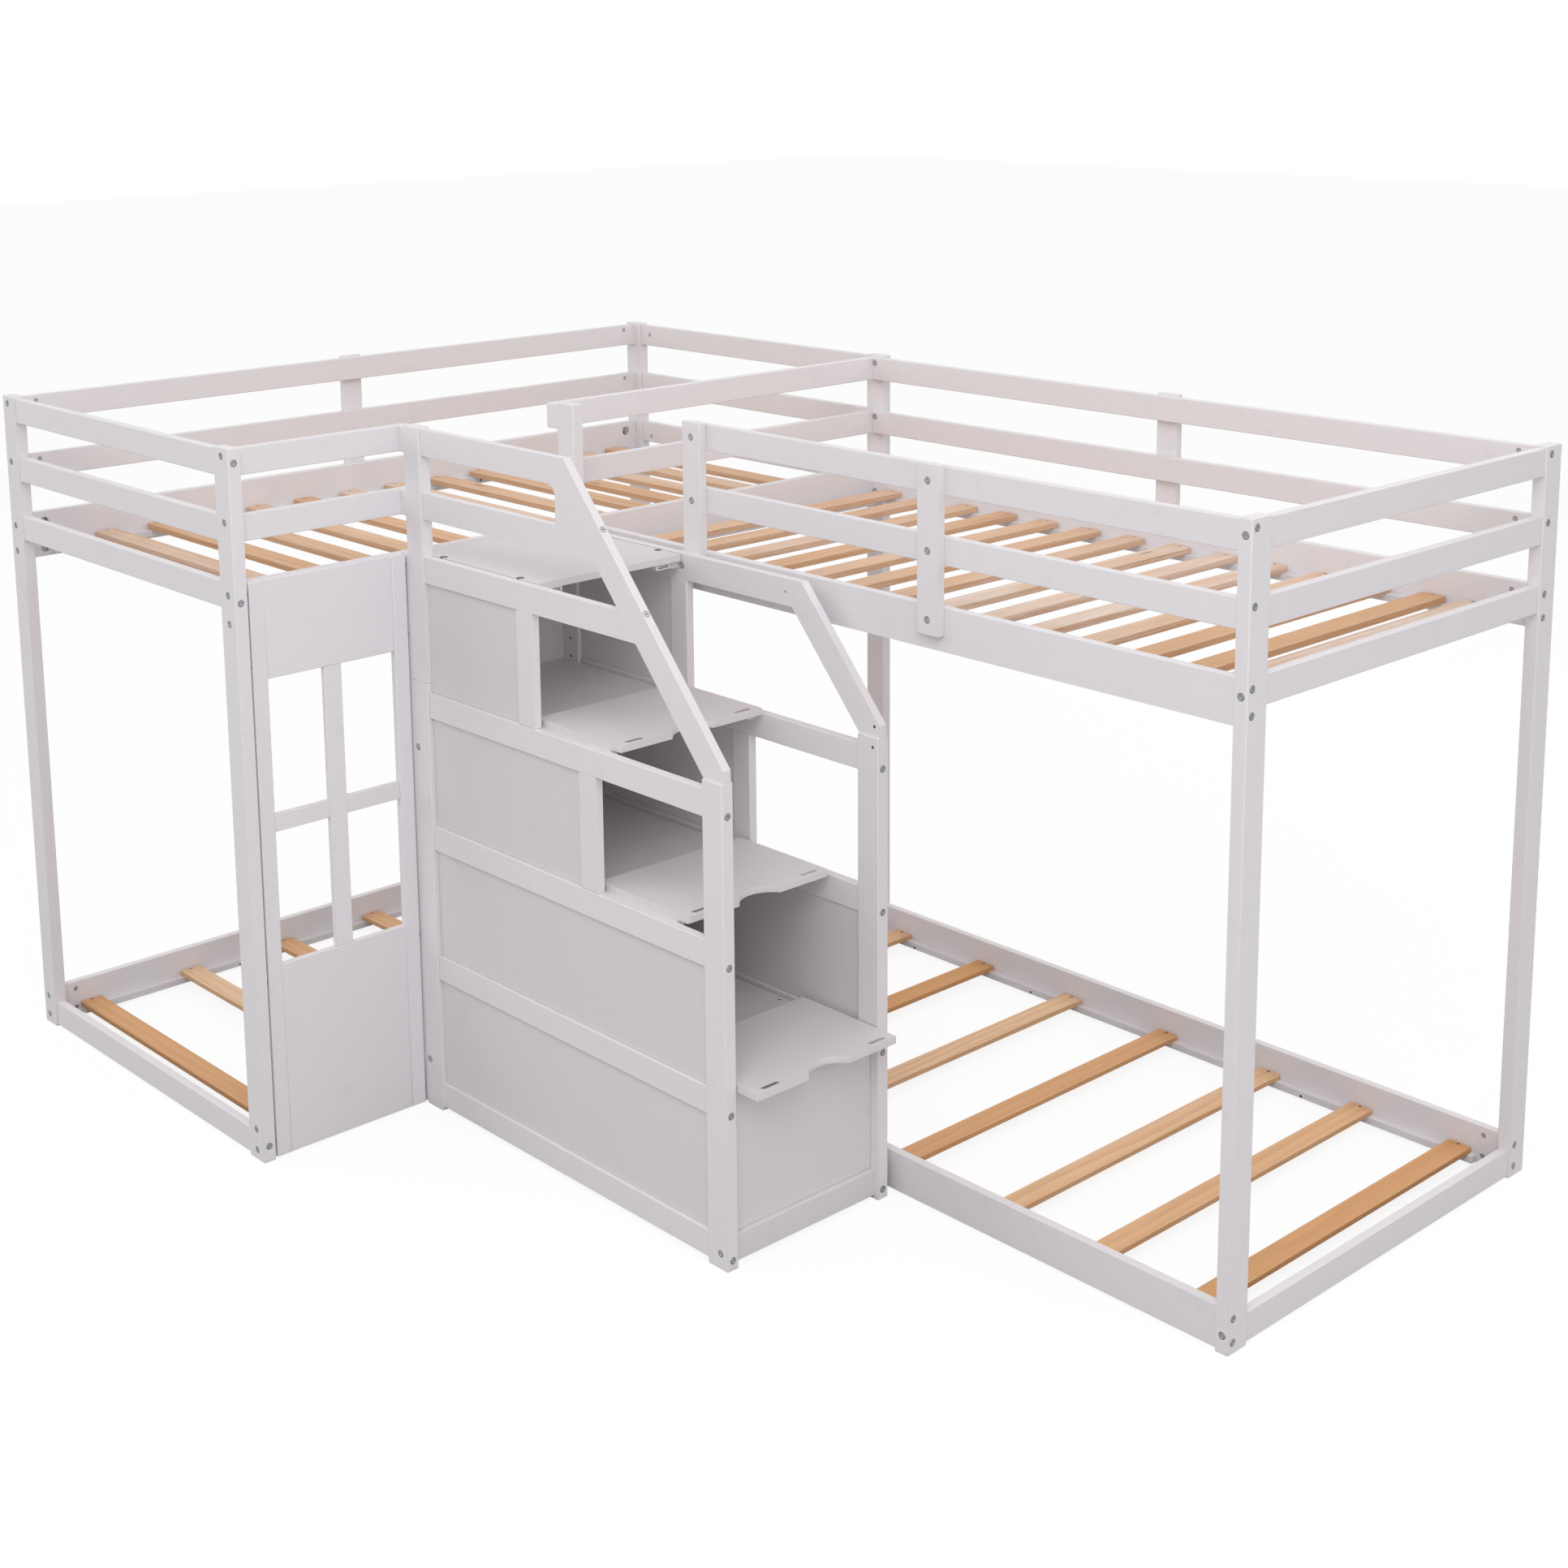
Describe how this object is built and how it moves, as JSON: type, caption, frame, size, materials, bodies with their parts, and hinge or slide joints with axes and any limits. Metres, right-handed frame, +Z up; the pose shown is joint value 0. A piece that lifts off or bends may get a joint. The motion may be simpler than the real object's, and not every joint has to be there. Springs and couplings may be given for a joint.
{
  "type": "l shaped bunk bed",
  "caption": "L shaped quadruple bunk bed: two twin over twin beds sharing a corner, with lift-up storage steps, handrails and a window panel",
  "frame": {"origin": "middle of the footprint's box, on the floor", "axes": "+X along the long wall towards the end of the right bed, +Y towards that wall, +Z up"},
  "size_m": [3.045, 2.021, 1.64],
  "materials": {
    "painted_wood": "satin white paint on solid wood",
    "painted_panel": "satin white paint on fibreboard",
    "pine_slats": "bare planed pine",
    "plywood_slats": "bare plywood",
    "zinc_hardware": "zinc plated"
  },
  "bodies": {
    "bed": {"foot_wall_post": "painted_wood", "foot_inner_post": "painted_wood", "corner_post": "painted_wood", "middle_post": "painted_wood", "end_wall_post": "painted_wood", "end_front_post": "painted_wood", "foot_guard_rails": "painted_wood", "foot_cross_rails": "painted_wood", "head_guard_rails": "painted_wood", "head_cross_rails": "painted_wood", "end_guard_rails": "painted_wood", "end_cross_rails": "painted_wood", "left_wall_guard_rails": "painted_wood", "left_wall_bed_rail": "painted_wood", "left_inner_guard_rails": "painted_wood", "left_inner_bed_rail": "painted_wood", "left_floor_rails": "painted_wood", "divider_guard_rails": "painted_wood", "right_wall_guard_rails": "painted_wood", "right_wall_bed_rail": "painted_wood", "right_front_guard_rails": "painted_wood", "right_front_bed_rail": "painted_wood", "right_floor_rails": "painted_wood", "wall_uprights": "painted_wood", "front_uprights": "painted_wood", "upper_ledgers": "painted_wood", "lower_ledgers": "painted_wood", "left_upper_slats": "pine_slats", "right_upper_slats": "pine_slats", "left_lower_slats": "plywood_slats", "right_lower_slats": "plywood_slats", "window_stiles": "painted_wood", "window_boards": "painted_wood", "window_bars": "painted_wood", "stair_near_posts": "painted_wood", "stair_far_posts": "painted_wood", "stair_guard_posts": "painted_wood", "near_guard": "painted_wood", "far_handrail": "painted_wood", "near_side_rails": "painted_wood", "far_side_rails": "painted_wood", "near_side_panels": "painted_panel", "far_side_panels": "painted_panel", "stair_stiles": "painted_wood", "stair_back_panel": "painted_panel", "stair_shelves": "painted_panel", "stair_cleats": "painted_panel", "stair_riser": "painted_panel", "top_platform": "painted_panel", "stair_spacers": "painted_wood", "lid_catches": "painted_wood", "frame_bolts": "zinc_hardware", "barrel_nuts": "zinc_hardware", "screws_and_pins": "zinc_hardware"},
    "lid_1": {"step_lid_1": "painted_panel", "lid_fittings_1": "zinc_hardware"},
    "lid_2": {"step_lid_2": "painted_panel", "lid_fittings_2": "zinc_hardware"},
    "lid_3": {"step_lid_3": "painted_panel", "lid_fittings_3": "zinc_hardware"}
  },
  "joints": [
    {"name": "lid_1_lift", "type": "hinge", "parent": "bed", "child": "lid_1", "pos_m": [0.4075, -0.331, 0.39475], "axis": [0, -1, 0], "range_deg": [0, 84]},
    {"name": "lid_2_lift", "type": "hinge", "parent": "bed", "child": "lid_2", "pos_m": [0.2005, -0.331, 0.713], "axis": [0, -1, 0], "range_deg": [0, 84]},
    {"name": "lid_3_lift", "type": "hinge", "parent": "bed", "child": "lid_3", "pos_m": [-0.0065, -0.331, 1.03125], "axis": [0, -1, 0], "range_deg": [0, 84]}
  ]
}
